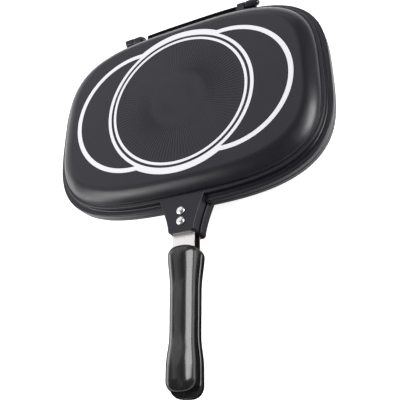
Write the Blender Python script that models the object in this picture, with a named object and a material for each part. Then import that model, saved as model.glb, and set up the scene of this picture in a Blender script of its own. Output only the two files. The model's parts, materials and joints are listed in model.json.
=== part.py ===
"""Double sided flip pan: two cast pans, hinged at the back and closed face to face.

Metres, +Z up. The origin is the centre of the lower pan's base, +Y points to the hinge
and -Y to the handles. Both pans are built in one pan frame, with its origin in the middle
of the parting plane and its height measured from there towards the pan's own base. The
lower pan's frame is turned over about Y, and the upper pan's hangs from the hinge axis.
"""

import math

import bmesh
import bpy
from mathutils import Matrix, Vector

# Pan body
rim_length = 0.324
rim_width = 0.2368
pan_depth = 0.02515
base_thickness = 0.004
outline_power = 3.3
outline_points = 72
joint_gap = 0.0003
fit_gap = 0.0003
cut_overrun = 0.002
sharp_angle = math.radians(35)

# Rim and wall of one pan, as insets from the rim and heights above the parting plane
lip_height = 0.0064
lip_round = 0.0008
lip_width = 0.0095
wall_inset = 0.0063
step_height = 0.0118
step_inset = 0.0095
step_top_height = 0.0138
shoulder_inset = 0.0099
shoulder_height = 0.0150
plate_inset = 0.0250
shoulder_power = 1.4
shoulder_wall = 0.0026
shoulder_steps = 5
cavity_steps = 4

# Ring turned into each plate, a little behind its middle
plate_ring_radius = 0.0802
plate_ring_width = 0.0030
plate_ring_depth = 0.0005
plate_ring_points = 40
plate_ring_back = 0.0016

# Seal in the lower lip
groove_inset = 0.0032
groove_width = 0.0032
groove_depth = 0.0025

# Grill ribs in the lower pan
rib_pitch = 0.018
rib_width = 0.0036
rib_top_width = 0.0020
rib_height = 0.0020
rib_root = 0.0010
rib_end_gap = 0.0080

# Cast bracket that carries the handle
bracket_root_inset = 0.0105
bracket_length = 0.0418
bracket_root_half = 0.0265
bracket_end_half = 0.0142
lower_bracket_extra = 0.0016
bracket_flare_power = 1.35
bracket_flare_points = 7
bracket_face_height = 0.01335
bracket_foot_height = 0.0005
bracket_corner = 0.0035
bracket_corner_points = 4
bracket_edge = 0.0008

# Steel tang
tang_half = 0.0120
tang_thickness = 0.0020
tang_height = 0.0055
tang_front_gap = 0.0018
tang_magnet_gap = 0.0066

# Rivets through bracket and tang
rivet_head_radius = 0.0045
rivet_head_height = 0.0022
rivet_radius = 0.0025
rivet_tail_radius = 0.0038
rivet_tail_height = 0.0014
rivet_pitch = 0.0113
rivet_back_from_end = 0.0119
round_points = 16
knuckle_points = 24
dome_steps = 3

# Moulded grip half
grip_start = 0.0451
grip_length = 0.1370
lower_grip_extra = 0.0040
grip_power = 2.5
grip_arch_points = 15
grip_edge_round = 0.0020
grip_edge_steps = 3
grip_front_round = 0.0090
grip_rear_round = 0.0110
grip_round_steps = 4
grip_middle_steps = 10
grip_neck_half = 0.0173
grip_waist_front_half = 0.01405
grip_waist_rear_half = 0.01375
grip_tail_half = 0.0162
grip_waist_front_share = 0.32
grip_waist_rear_share = 0.62
grip_tail_share = 0.84
grip_end_height_share = 0.45

# Screws that hold the grip to the tang
screw_head_radius = 0.0032
screw_head_height = 0.0018
screw_head_sink = 0.0008
screw_radius = 0.0017
screw_reach = 0.0052
screw_front_distance = 0.0200
screw_from_tang_end = 0.0149

# Closing magnets in the flat faces of the grips
magnet_radius = 0.0050
magnet_thickness = 0.0040
magnet_from_end = 0.0145

# Hinge
hinge_offset = 0.0074
knuckle_radius = 0.0052
pin_radius = 0.0022
pin_head_radius = 0.0038
pin_head_length = 0.0050
inner_lug_inner = 0.0638
inner_lug_width = 0.0087
lug_space = 0.0027
outer_lug_width = 0.0104
washer_radius = 0.0048
lug_root_inset = 0.0024
lug_arm_height = 0.0046

# Drip gutter of the lower pan, between the lugs
gutter_reach = 0.0136
gutter_root_inset = 0.0024
gutter_height = 0.0046
gutter_depth = 0.0032
gutter_wall = 0.0014
gutter_land = 0.0010
gutter_lug_gap = 0.0013
gutter_points = 13

# Places worked out from the sizes above
half_length = rim_length / 2
half_width = rim_width / 2
half_gap = joint_gap / 2
parting_height = pan_depth + half_gap
pan_top = pan_depth + half_gap
floor_height = pan_top - base_thickness
shoulder_reach = plate_inset - shoulder_inset
shoulder_rise = pan_top - shoulder_height
hinge_y = half_width + hinge_offset
bracket_root_y = -half_width + bracket_root_inset
bracket_end_y = bracket_root_y - bracket_length
tang_start_y = -half_width - tang_front_gap
tang_top = tang_height + tang_thickness
grip_start_y = -half_width - grip_start
grip_end_y = grip_start_y - grip_length
magnet_y = grip_end_y + magnet_from_end
tang_end_y = magnet_y + magnet_radius + tang_magnet_gap
outer_lug_inner = inner_lug_inner + inner_lug_width + lug_space
outer_lug_outer = outer_lug_inner + outer_lug_width
rivet_end_y = bracket_end_y + rivet_back_from_end
rivet_places = (rivet_end_y + rivet_pitch, rivet_end_y)
screw_places = (grip_start_y - screw_front_distance, tang_end_y + screw_from_tang_end)
screw_seat = half_gap + screw_head_sink + screw_head_height

for old in list(bpy.data.objects):
    bpy.data.objects.remove(old, do_unlink=True)

parts = bpy.data.collections.new("double_sided_flip_pan")
cutters = bpy.data.collections.new("cutters")
for group in (parts, cutters):
    bpy.context.scene.collection.children.link(group)


def make_material(name, colour, roughness, metallic):
    """One Principled material in a plain colour."""
    material = bpy.data.materials.new(name)
    material.use_nodes = True
    shader = material.node_tree.nodes["Principled BSDF"]
    shader.inputs["Base Color"].default_value = (*colour, 1.0)
    shader.inputs["Roughness"].default_value = roughness
    shader.inputs["Metallic"].default_value = metallic
    material.diffuse_color = (*colour, 1.0)
    return material


coating = make_material("black_coating", (0.050, 0.049, 0.056), 0.45, 0.0)
steel = make_material("stainless_steel", (0.80, 0.79, 0.77), 0.25, 1.0)
bakelite = make_material("marbled_bakelite", (0.045, 0.043, 0.045), 0.15, 0.0)
silicone = make_material("silicone_seal", (0.35, 0.03, 0.03), 0.60, 0.0)
magnet_metal = make_material("magnet_nickel", (0.60, 0.58, 0.55), 0.30, 1.0)
pin_steel = make_material("blackened_steel", (0.060, 0.060, 0.062), 0.40, 1.0)


def make_empty(name, location, turn=0.0):
    """A frame that a pan's pieces hang from."""
    empty = bpy.data.objects.new(name, None)
    empty.location = location
    empty.rotation_euler = (0, turn, 0)
    parts.objects.link(empty)
    return empty


lower_frame = make_empty("lower_pan_frame", (0, 0, parting_height), math.pi)
upper_frame = make_empty("upper_pan_hinge_axis", (0, hinge_y, parting_height))
pin_frame = make_empty("hinge_pin_axis", (0, hinge_y, parting_height))
origin_of = {
    lower_frame: Vector((0, 0, 0)),
    upper_frame: Vector((0, -hinge_y, 0)),
    pin_frame: Vector((0, 0, 0)),
}


def make_object(name, mesh, frame, material=None, place=(0, 0, 0)):
    """A part when it has a material, and otherwise a cutter."""
    piece = bpy.data.objects.new(name, mesh)
    piece.parent = frame
    piece.location = origin_of[frame] + Vector(place)
    if material:
        if material.name not in mesh.materials:
            mesh.materials.append(material)
        parts.objects.link(piece)
        mesh.shade_smooth()
        mesh.set_sharp_from_angle(angle=sharp_angle)
    else:
        cutters.objects.link(piece)
        piece.hide_render = True
        piece.display_type = "WIRE"
    return piece


def finish_mesh(name, shape):
    """Turns a bmesh into a mesh with its faces pointing out."""
    bmesh.ops.recalc_face_normals(shape, faces=shape.faces)
    mesh = bpy.data.meshes.new(name)
    shape.to_mesh(mesh)
    shape.free()
    return mesh


def join_by_boolean(target, other, operation):
    """Cuts other out of target, or joins it on."""
    modifier = target.modifiers.new(f"{operation.lower()} {other.name}", "BOOLEAN")
    modifier.operation = operation
    modifier.solver = "EXACT"
    modifier.object = other


def loft(name, rings, ring_closed=False):
    """Skins rings of equally many points, with flat ends or round into a closed loop."""
    shape = bmesh.new()
    rows = [[shape.verts.new(point) for point in ring] for ring in rings]
    pairs = list(zip(rows, rows[1:]))
    if ring_closed:
        pairs.append((rows[-1], rows[0]))
    for first, second in pairs:
        for i, corner in enumerate(first):
            j = (i + 1) % len(first)
            shape.faces.new((corner, first[j], second[j], second[i]))
    if not ring_closed:
        shape.faces.new(rows[0])
        shape.faces.new(rows[-1])
    return finish_mesh(name, shape)


def prism(name, outline, low, high, edge=0.0):
    """A flat outline raised from low to high, with its rims rounded by edge."""
    shape = bmesh.new()
    floor = shape.faces.new([shape.verts.new((x, y, low)) for x, y in outline])
    raised = bmesh.ops.extrude_face_region(shape, geom=[floor])["geom"]
    tops = [item for item in raised if isinstance(item, bmesh.types.BMVert)]
    bmesh.ops.translate(shape, verts=tops, vec=(0, 0, high - low))
    if edge:
        rims = [e for e in shape.edges if abs(e.verts[0].co.z - e.verts[1].co.z) < edge]
        bmesh.ops.bevel(shape, geom=rims, offset=edge, segments=2, affect="EDGES")
    return finish_mesh(name, shape)


def block(name, low, high):
    """A box between two corners."""
    low, high = Vector(low), Vector(high)
    shape = bmesh.new()
    bmesh.ops.create_cube(shape, size=1.0)
    size = high - low
    bmesh.ops.scale(shape, vec=size, verts=shape.verts)
    bmesh.ops.translate(shape, vec=(low + high) / 2, verts=shape.verts)
    return finish_mesh(name, shape)


def turned(name, profile, points=round_points, ring_closed=False):
    """A solid of revolution about Z, or a ring, from a profile of radius and height."""
    rings = []
    for radius, height in profile:
        ring = []
        for i in range(points):
            angle = math.tau * i / points
            ring.append((radius * math.cos(angle), radius * math.sin(angle), height))
        rings.append(ring)
    return loft(name, rings, ring_closed)


def lay_along_x(mesh):
    """Turns a mesh that stands on Z so that it points along +X."""
    mesh.transform(Matrix.Rotation(math.pi / 2, 4, "Y"))
    return mesh


def rounded_power(value, power):
    """A cosine or sine raised so that a circle becomes a fuller curve."""
    return math.copysign(abs(value) ** (2 / power), value)


def rim_point(angle, inset, height):
    """A point of the pan's outline, drawn in by inset, at a height."""
    x = (half_length - inset) * rounded_power(math.cos(angle), outline_power)
    y = (half_width - inset) * rounded_power(math.sin(angle), outline_power)
    return Vector((x, y, height))


def rim_ring(inset, height):
    """The whole outline, drawn in by inset, at a height."""
    return [rim_point(math.tau * i / outline_points, inset, height) for i in range(outline_points)]


def rim_y(x, inset=0.0):
    """How far back the outline lies at x."""
    share = abs(x) / (half_length - inset)
    return (half_width - inset) * (1 - share ** outline_power) ** (1 / outline_power)


def quarter_curve(reach, rise, steps):
    """Insets and heights from the top of a shoulder down to its foot."""
    curve = []
    for i in range(steps + 1):
        angle = math.pi / 2 * (1 - i / steps)
        across = math.cos(angle) ** (2 / shoulder_power)
        up = math.sin(angle) ** (2 / shoulder_power)
        curve.append((plate_inset - reach * across, shoulder_height + rise * up))
    return curve


def shell_profile():
    """Inset and height from the plate, over the shoulder and lip, to the cavity's floor."""
    outside = quarter_curve(shoulder_reach, shoulder_rise, shoulder_steps)
    outside += [
        (step_inset, step_top_height),
        (wall_inset, step_height),
        (wall_inset, lip_height),
        (lip_round, lip_height),
        (0, lip_height - lip_round),
        (0, half_gap + lip_round),
        (lip_round, half_gap),
    ]
    cavity_reach = shoulder_reach - shoulder_wall
    cavity_rise = floor_height - shoulder_height
    inside = quarter_curve(cavity_reach, cavity_rise, cavity_steps)
    return outside + [(lip_width, half_gap)] + inside[::-1]


def make_shell(name, frame):
    """The cast pan itself, lofted through its profile."""
    mesh = loft(name, [rim_ring(inset, height) for inset, height in shell_profile()])
    return make_object(name, mesh, frame, coating)


def cut_plate_ring(shell, frame, prefix):
    """Cuts the shallow ring that frames the middle of the plate."""
    outer = plate_ring_radius + plate_ring_width
    low, high = pan_top - plate_ring_depth, pan_top + cut_overrun
    corners = [(plate_ring_radius, low), (plate_ring_radius, high), (outer, high), (outer, low)]
    ring = turned(f"{prefix}_plate_ring", corners, plate_ring_points, ring_closed=True)
    cutter = make_object(f"{prefix}_plate_ring", ring, frame, place=(0, plate_ring_back, 0))
    join_by_boolean(shell, cutter, "DIFFERENCE")


def bracket_outline(extra):
    """Plan of the bracket: flared where it leaves the rim, with round corners at its end."""
    side = []
    straight = bracket_length - bracket_corner
    for i in range(bracket_flare_points):
        share = i / (bracket_flare_points - 1)
        flare = (1 - share) ** bracket_flare_power
        half = extra + bracket_end_half + (bracket_root_half - bracket_end_half) * flare
        side.append((half, bracket_root_y - straight * share))
    for i in range(1, bracket_corner_points + 1):
        angle = math.pi / 2 * i / bracket_corner_points
        x = extra + bracket_end_half - bracket_corner * (1 - math.cos(angle))
        side.append((x, bracket_root_y - straight - bracket_corner * math.sin(angle)))
    return side + [(-x, y) for x, y in side[::-1]]


def add_bracket(shell, frame, prefix, extra):
    """Joins the handle bracket to a shell, and cuts its channel and rivet holes."""
    body = prism(
        f"{prefix}_bracket", bracket_outline(extra), bracket_foot_height, bracket_face_height, bracket_edge
    )
    join_by_boolean(shell, make_object(f"{prefix}_bracket", body, frame), "UNION")
    reach = tang_half + fit_gap
    low = (-reach, bracket_end_y - cut_overrun, -cut_overrun)
    high = (reach, tang_start_y + fit_gap, tang_top + fit_gap)
    channel = make_object(f"{prefix}_channel", block(f"{prefix}_channel", low, high), frame)
    join_by_boolean(shell, channel, "DIFFERENCE")
    for i, y in enumerate(rivet_places):
        cut_hole(shell, frame, f"{prefix}_rivet_hole_{i + 1}", rivet_radius, y, bracket_face_height)


def cut_hole(target, frame, name, radius, y, top):
    """An upright round hole from below the parting plane to past the top."""
    wide = radius + fit_gap
    bore = turned(name, [(wide, -cut_overrun), (wide, top + cut_overrun)])
    join_by_boolean(target, make_object(name, bore, frame, place=(0, y, 0)), "DIFFERENCE")


def add_lug(shell, frame, name, inner, width, side):
    """Joins one hinge lug with its knuckle, and bores it for the pin."""
    low_x, high_x = sorted((side * inner, side * (inner + width)))
    plan = [(x, rim_y(x) - lug_root_inset) for x in (low_x, high_x)]
    plan += [(high_x, hinge_y), (low_x, hinge_y)]
    arm = prism(f"{name}_arm", plan, bracket_foot_height, lug_arm_height)
    join_by_boolean(shell, make_object(f"{name}_arm", arm, frame), "UNION")
    ends = [(knuckle_radius, 0), (knuckle_radius, width)]
    knuckle = lay_along_x(turned(name, ends, knuckle_points))
    place = (low_x, hinge_y, 0)
    join_by_boolean(shell, make_object(name, knuckle, frame, place=place), "UNION")
    bore_radius = pin_radius + fit_gap
    ends = [(bore_radius, -cut_overrun), (bore_radius, width + cut_overrun)]
    bore = lay_along_x(turned(f"{name}_bore", ends))
    cutter = make_object(f"{name}_bore", bore, frame, place=place)
    join_by_boolean(shell, cutter, "DIFFERENCE")


def gutter_plan(first, last, start, reach):
    """Plan of a strip that follows the rim from one x to another, at these distances from it."""
    places = [first + (last - first) * i / (gutter_points - 1) for i in range(gutter_points)]
    back = [(x, rim_y(x) + reach) for x in places]
    front = [(x, rim_y(x) + start) for x in places]
    return back + front[::-1]


def add_gutter(shell, frame):
    """Joins the drip gutter, which follows the rim between the hinge lugs, and hollows it."""
    first = gutter_lug_gap - inner_lug_inner
    last = -first - pin_head_length
    low = bracket_foot_height
    plan = gutter_plan(first, last, -gutter_root_inset, gutter_reach)
    bar = prism("drip_gutter", plan, low, low + gutter_height, bracket_edge)
    join_by_boolean(shell, make_object("drip_gutter", bar, frame), "UNION")
    inside = gutter_plan(first + gutter_wall, last - gutter_wall, gutter_land, gutter_reach - gutter_wall)
    hollow = prism("gutter_hollow", inside, -cut_overrun, low + gutter_depth)
    join_by_boolean(shell, make_object("gutter_hollow", hollow, frame), "DIFFERENCE")


def add_ribs(shell, frame):
    """Joins the grill ribs to the cavity's floor, as one set of tapered bars."""
    shape = bmesh.new()
    reach = half_length - plate_inset
    count = int(reach // rib_pitch)
    for i in range(-count, count + 1):
        x = i * rib_pitch
        if abs(x) + rib_width > reach:
            continue
        half = rim_y(x, plate_inset) - rib_end_gap
        bar = bmesh.ops.create_cube(shape, size=1.0)["verts"]
        tall = rib_height + rib_root
        bmesh.ops.scale(shape, vec=(rib_width, 2 * half, tall), verts=bar)
        tips = [v for v in bar if v.co.z < 0]
        taper = (rib_top_width / rib_width, 1 - rib_height / half, 1.0)
        bmesh.ops.scale(shape, vec=taper, verts=tips)
        lift = floor_height + rib_root - tall / 2
        bmesh.ops.translate(shape, vec=(x, 0, lift), verts=bar)
    ribs = finish_mesh("grill_ribs", shape)
    join_by_boolean(shell, make_object("grill_ribs", ribs, frame), "UNION")


def cut_groove(shell, frame):
    """Cuts the seal's groove along the lip, through whatever was joined to it."""
    inner = groove_inset + groove_width
    deep = half_gap + groove_depth
    corners = (
        (groove_inset, -cut_overrun),
        (groove_inset, deep),
        (inner, deep),
        (inner, -cut_overrun),
    )
    rings = [rim_ring(inset, height) for inset, height in corners]
    groove = make_object("seal_groove", loft("seal_groove", rings, True), frame)
    join_by_boolean(shell, groove, "DIFFERENCE")


def make_seal():
    """The silicone ring that fills the groove in the lower lip."""
    inner = groove_inset + groove_width - fit_gap
    outer = groove_inset + fit_gap
    deep = half_gap + groove_depth - fit_gap
    corners = ((outer, half_gap), (outer, deep), (inner, deep), (inner, half_gap))
    rings = [rim_ring(inset, height) for inset, height in corners]
    return make_object("seal_ring", loft("seal_ring", rings, True), lower_frame, silicone)


def make_tang(frame, prefix):
    """The steel strip that joins bracket and grip, with its rivet and screw holes."""
    low = (-tang_half, tang_end_y, tang_height)
    high = (tang_half, tang_start_y, tang_top)
    name = f"{prefix}_handle_tang"
    tang = make_object(name, block(name, low, high), frame, steel)
    for i, y in enumerate(rivet_places):
        cut_hole(tang, frame, f"{name}_rivet_hole_{i + 1}", rivet_radius, y, tang_top)
    for i, y in enumerate(screw_places):
        cut_hole(tang, frame, f"{name}_screw_hole_{i + 1}", screw_radius, y, tang_top)


def grip_half(distance):
    """Half width of the grip at a distance from its front, with smooth swells."""
    share = distance / grip_length
    stations = (
        (0.0, grip_neck_half),
        (grip_waist_front_share, grip_waist_front_half),
        (grip_waist_rear_share, grip_waist_rear_half),
        (grip_tail_share, grip_tail_half),
    )
    for (s0, w0), (s1, w1) in zip(stations, stations[1:]):
        if share <= s1:
            blend = (1 - math.cos(math.pi * (share - s0) / (s1 - s0))) / 2
            return w0 + (w1 - w0) * blend
    return grip_tail_half


def rounding(distance, radius):
    """How far a rounded end has drawn in at a distance from the tip."""
    if distance >= radius:
        return 0.0
    return radius - math.sqrt(radius ** 2 - (radius - distance) ** 2)


def grip_stations(length):
    """Distances along a grip, closer together at the rounded ends."""
    front = []
    for i in range(grip_round_steps):
        front.append(grip_front_round * (1 - math.cos(math.pi / 2 * i / grip_round_steps)))
    middle = length - grip_front_round - grip_rear_round
    body = [grip_front_round + middle * i / grip_middle_steps for i in range(grip_middle_steps)]
    rear = []
    for i in range(grip_round_steps + 1):
        rear.append(length - grip_rear_round * (1 - math.sin(math.pi / 2 * i / grip_round_steps)))
    return front + body + rear


def grip_section(half):
    """Half width and height of a grip's outline: a flat, a rounded edge and half the arch."""
    side = []
    for i in range(grip_edge_steps):
        angle = math.pi / 2 * i / grip_edge_steps
        x = half - grip_edge_round * (1 - math.sin(angle))
        side.append((x, half_gap + grip_edge_round * (1 - math.cos(angle))))
    arch_foot = half_gap + grip_edge_round
    for i in range(grip_arch_points):
        angle = math.pi * i / (grip_arch_points - 1)
        x = half * rounded_power(math.cos(angle), grip_power)
        side.append((x, arch_foot + (half - arch_foot) * rounded_power(math.sin(angle), grip_power)))
    return side + [(-x, z) for x, z in side[grip_edge_steps - 1::-1]]


def grip_ring(distance, length):
    """One D shaped section of a grip half, drawn in towards its middle near both ends."""
    drawn_in = max(
        rounding(distance, grip_front_round), rounding(length - distance, grip_rear_round)
    )
    half = grip_half(distance)
    scale = (half - drawn_in) / half
    middle = half * grip_end_height_share
    y = grip_start_y - distance
    return [(x * scale, y, middle + (z - middle) * scale) for x, z in grip_section(half)]


def make_grip(frame, prefix, length):
    """One grip half, with the tang's slot, sunk screw holes and magnet pocket."""
    name = f"{prefix}_handle_grip"
    mesh = loft(name, [grip_ring(distance, length) for distance in grip_stations(length)])
    grip = make_object(name, mesh, frame, bakelite)
    reach = tang_half + fit_gap
    low = (-reach, tang_end_y - fit_gap, tang_height - fit_gap)
    high = (reach, grip_start_y + cut_overrun, tang_top + fit_gap)
    slot = make_object(f"{name}_slot", block(f"{name}_slot", low, high), frame)
    join_by_boolean(grip, slot, "DIFFERENCE")
    for i, y in enumerate(screw_places):
        top = tang_top + screw_reach + fit_gap - cut_overrun
        cut_hole(grip, frame, f"{name}_screw_hole_{i + 1}", screw_radius, y, top)
        seat_top = screw_seat + fit_gap - cut_overrun
        cut_hole(grip, frame, f"{name}_screw_seat_{i + 1}", screw_head_radius, y, seat_top)
    pocket_top = half_gap + magnet_thickness + fit_gap - cut_overrun
    cut_hole(grip, frame, f"{name}_magnet_pocket", magnet_radius, magnet_y, pocket_top)


def dome(radius, height, base):
    """Profile of a domed head that stands on base."""
    profile = []
    for i in range(dome_steps):
        angle = math.pi / 2 * i / dome_steps
        profile.append((radius * math.cos(angle), base + height * math.sin(angle)))
    return profile


def make_rivets(frame, prefix):
    """The two rivets, domed on the bracket's face and peened flat under the tang."""
    head_base = bracket_face_height + fit_gap
    tail_top = tang_height - fit_gap
    profile = [
        (rivet_tail_radius, tail_top - rivet_tail_height),
        (rivet_tail_radius, tail_top),
        (rivet_radius, tail_top),
        (rivet_radius, head_base),
    ] + dome(rivet_head_radius, rivet_head_height, head_base)
    mesh = turned(f"{prefix}_rivet", profile)
    for i, y in enumerate(rivet_places):
        make_object(f"{prefix}_rivet_{i + 1}", mesh, frame, steel, (0, y, 0))


def make_screws(frame, prefix):
    """The two screws that hold a grip half, sunk in its flat face and through the tang."""
    profile = [
        (screw_head_radius, half_gap + screw_head_sink),
        (screw_head_radius, screw_seat),
        (screw_radius, screw_seat),
        (screw_radius, tang_top + screw_reach),
    ]
    mesh = turned(f"{prefix}_grip_screw", profile)
    for i, y in enumerate(screw_places):
        make_object(f"{prefix}_grip_screw_{i + 1}", mesh, frame, pin_steel, (0, y, 0))


def make_magnet(frame, prefix):
    """The disc magnet, flush in the flat face of a grip half."""
    name = f"{prefix}_magnet"
    mesh = turned(name, [(magnet_radius, half_gap), (magnet_radius, half_gap + magnet_thickness)])
    make_object(name, mesh, frame, magnet_metal, (0, magnet_y, 0))


def make_hinge_pins():
    """Two headed pins, both pushed in from +X, and a washer between each pair of lugs."""
    span = outer_lug_outer - inner_lug_inner
    head = span + fit_gap
    profile = [(pin_radius, 0), (pin_radius, head), (pin_head_radius, head)]
    tall = pin_head_length
    profile += [(radius, height) for radius, height in dome(pin_head_radius, tall, head)[1:]]
    pin = lay_along_x(turned("hinge_pin", profile))
    thick = lug_space - 2 * fit_gap
    bore = pin_radius + fit_gap
    rim = [(washer_radius, 0), (washer_radius, thick), (bore, thick), (bore, 0)]
    starts = {"right": inner_lug_inner, "left": -outer_lug_outer}
    gaps = {"right": outer_lug_inner - lug_space, "left": -outer_lug_inner}
    washer = lay_along_x(turned("hinge_washer", rim, ring_closed=True))
    for side, start in starts.items():
        make_object(f"hinge_pin_{side}", pin, pin_frame, pin_steel, (start, 0, 0))
        place = (gaps[side] + fit_gap, 0, 0)
        make_object(f"hinge_washer_{side}", washer, pin_frame, pin_steel, place)


def make_handle(frame, prefix, length):
    """Everything that one pan's handle is put together from."""
    make_tang(frame, prefix)
    make_grip(frame, prefix, length)
    make_rivets(frame, prefix)
    make_screws(frame, prefix)
    make_magnet(frame, prefix)


lower_shell = make_shell("lower_pan_shell", lower_frame)
upper_shell = make_shell("upper_pan_shell", upper_frame)
pans = (
    (lower_shell, lower_frame, "lower", grip_length + lower_grip_extra, lower_bracket_extra),
    (upper_shell, upper_frame, "upper", grip_length, 0),
)
for shell, frame, prefix, length, extra in pans:
    cut_plate_ring(shell, frame, prefix)
    add_bracket(shell, frame, prefix, extra)
    make_handle(frame, prefix, length)
for hand, side in (("left", -1), ("right", 1)):
    add_lug(upper_shell, upper_frame, f"inner_lug_{hand}", inner_lug_inner, inner_lug_width, side)
    add_lug(lower_shell, lower_frame, f"outer_lug_{hand}", outer_lug_inner, outer_lug_width, side)
add_gutter(lower_shell, lower_frame)
add_ribs(lower_shell, lower_frame)
cut_groove(lower_shell, lower_frame)
make_seal()
make_hinge_pins()

bpy.context.view_layer.update()
reader = bpy.context.evaluated_depsgraph_get()
total = 0
for piece in parts.objects:
    if piece.type == "MESH":
        mesh = piece.evaluated_get(reader).to_mesh()
        mesh.calc_loop_triangles()
        total += len(mesh.loop_triangles)
        print(f"{piece.name}: {len(mesh.loop_triangles)} triangles")
print(f"{len(parts.objects)} objects with their frames, {total} triangles")
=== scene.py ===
# %% [markdown]
# A double sided flip pan is two shallow cast pans, hinged at the back and shut face to
# face, so that the whole thing can be turned over on the hob. This script dresses its
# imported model. The frame gives every size and place, and the cells below add the finer
# surfaces, the finishes, the light and the camera. Each cell stands on the ones above it.

# %% Load the frame
import json
import math

import bmesh
import bpy
from mathutils import Matrix, Vector


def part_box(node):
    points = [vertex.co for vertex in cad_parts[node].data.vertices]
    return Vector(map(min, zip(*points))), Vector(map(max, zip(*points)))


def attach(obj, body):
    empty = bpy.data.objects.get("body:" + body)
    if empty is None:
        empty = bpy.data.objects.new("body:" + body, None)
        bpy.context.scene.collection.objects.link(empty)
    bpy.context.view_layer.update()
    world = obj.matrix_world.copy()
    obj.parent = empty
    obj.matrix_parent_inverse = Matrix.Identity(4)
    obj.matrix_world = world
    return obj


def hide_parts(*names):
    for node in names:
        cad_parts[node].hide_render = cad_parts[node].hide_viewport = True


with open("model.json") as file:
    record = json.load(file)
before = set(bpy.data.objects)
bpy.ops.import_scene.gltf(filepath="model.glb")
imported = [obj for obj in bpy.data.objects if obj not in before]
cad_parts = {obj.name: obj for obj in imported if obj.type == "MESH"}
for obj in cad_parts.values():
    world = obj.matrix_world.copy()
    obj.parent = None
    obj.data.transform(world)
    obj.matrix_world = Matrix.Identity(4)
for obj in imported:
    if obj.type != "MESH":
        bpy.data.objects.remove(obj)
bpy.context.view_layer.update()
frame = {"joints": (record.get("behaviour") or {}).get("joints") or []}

# %% [markdown]
# The two pans are twins. Each is made in a frame of its own, with the origin in the middle
# of the joint between the rims and the height measured away from that joint, towards the
# pan's flat plate. The upper pan is lifted into place, and the lower one is also turned
# over about the Y axis. The hinge joint and the boxes of a few nodes give the sizes.

# %% Sizes read from the frame
mm = 0.001
hinge_y, parting_height = frame["joints"][0]["pos_m"][1:]
shell_low, shell_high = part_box("upper_pan_shell")
seal_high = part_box("seal_ring")[1]
half_length = shell_high.x
half_width = seal_high.y + half_length - seal_high.x
plate_height = shell_high.z - parting_height
lift = Matrix.Translation((0, 0, parting_height))
pan_frames = {"upper": lift, "lower": lift @ Matrix.Rotation(math.pi, 4, "Y")}
print(f"pan {2000 * half_length:.1f} x {2000 * half_width:.1f} mm, plates {2000 * plate_height:.1f} mm apart")

# %% [markdown]
# The photograph was taken from above the handle, with the camera rolled so that the handle
# points down. The lens, the place and the roll were worked out from the three round bands
# on the plate, whose ellipses fix a camera well. Blender has no roll setting, so the camera
# is first aimed with a track quaternion and then turned about its own axis.

# %% Camera
camera_place = Vector((0.24529, -0.38080, 0.51859))
camera_aim = Vector((0.02671, -0.12579, 0.05060))
camera_roll = math.radians(-46.535)
camera_lens = 53.784
camera_sensor = 36.0

camera_data = bpy.data.cameras.new("photo_camera")
camera_data.lens = camera_lens
camera_data.sensor_width = camera_sensor
camera_data.clip_start = 0.01
camera = bpy.data.objects.new("photo_camera", camera_data)
bpy.context.scene.collection.objects.link(camera)
sight = camera_aim - camera_place
turn = sight.to_track_quat("-Z", "Y").to_matrix().to_4x4() @ Matrix.Rotation(camera_roll, 4, "Z")
camera.matrix_world = Matrix.Translation(camera_place) @ turn
bpy.context.scene.camera = camera
print(f"camera {sight.length:.3f} m from its aim")

# %% [markdown]
# Colours are written as sRGB hex values, the way a paint or web palette gives them, and one
# function turns them into the linear numbers that Blender's shaders work with. A second
# small function adds any shader node, sets its properties and fills or links its inputs.

# %% Helpers for colours and nodes
def linear(code):
    """An sRGB hex colour as linear red, green, blue and a full alpha."""
    channels = [int(code[i:i + 2], 16) / 255 for i in (1, 3, 5)]
    return [c / 12.92 if c <= 0.04045 else ((c + 0.055) / 1.055) ** 2.4 for c in channels] + [1.0]


def add_node(tree, kind, settings=None, inputs=None):
    """Adds a node, sets its properties, and gives each named input a value or a link."""
    node = tree.nodes.new(kind)
    for name, value in (settings or {}).items():
        setattr(node, name, value)
    for key, value in (inputs or {}).items():
        if isinstance(value, bpy.types.NodeSocket):
            tree.links.new(value, node.inputs[key])
        else:
            node.inputs[key].default_value = value
    return node


def start_material(name, colour, roughness, **values):
    """A Principled material with plain values, for the cells below to add their pattern to."""
    material = bpy.data.materials.new(name)
    material.use_nodes = True
    shader = material.node_tree.nodes["Principled BSDF"]
    shader.inputs["Base Color"].default_value = linear(colour)
    shader.inputs["Roughness"].default_value = roughness
    for key, value in values.items():
        shader.inputs[key.replace("_", " ")].default_value = value
    return material, material.node_tree, shader

# %% [markdown]
# The pan stands on a sheet of white paper, far wider than the picture. It lies a hair under
# the pan, so that no faces share a plane.

# %% Floor
floor_size = 6.0
floor_drop = 0.2 * mm

floor_mesh = bpy.data.meshes.new("floor")
shape = bmesh.new()
bmesh.ops.create_grid(shape, x_segments=1, y_segments=1, size=floor_size / 2)
bmesh.ops.translate(shape, verts=shape.verts, vec=(0, 0, -floor_drop))
shape.to_mesh(floor_mesh)
shape.free()
floor = bpy.data.objects.new("studio_floor", floor_mesh)
bpy.context.scene.collection.objects.link(floor)
print(f"floor {floor_size} m wide, {1000 * floor_drop} mm under the pan")

# %% [markdown]
# For the camera the paper is white. A glossy black thing is only seen by what it mirrors, so
# the paper also glows for mirror rays, and light path nodes pick those out. A black card
# under the handle would keep the brackets dark, as photographers do. Here it is no object
# but a round spot in the paper's shader that fades out softly, and only mirror rays meet it.

# %% White paper
floor_glow = 0.86
card_middle = (0.013, -0.275, 0)
card_dark_to = 0.095
card_fades_to = 0.22
card_least = 0.12

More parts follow.
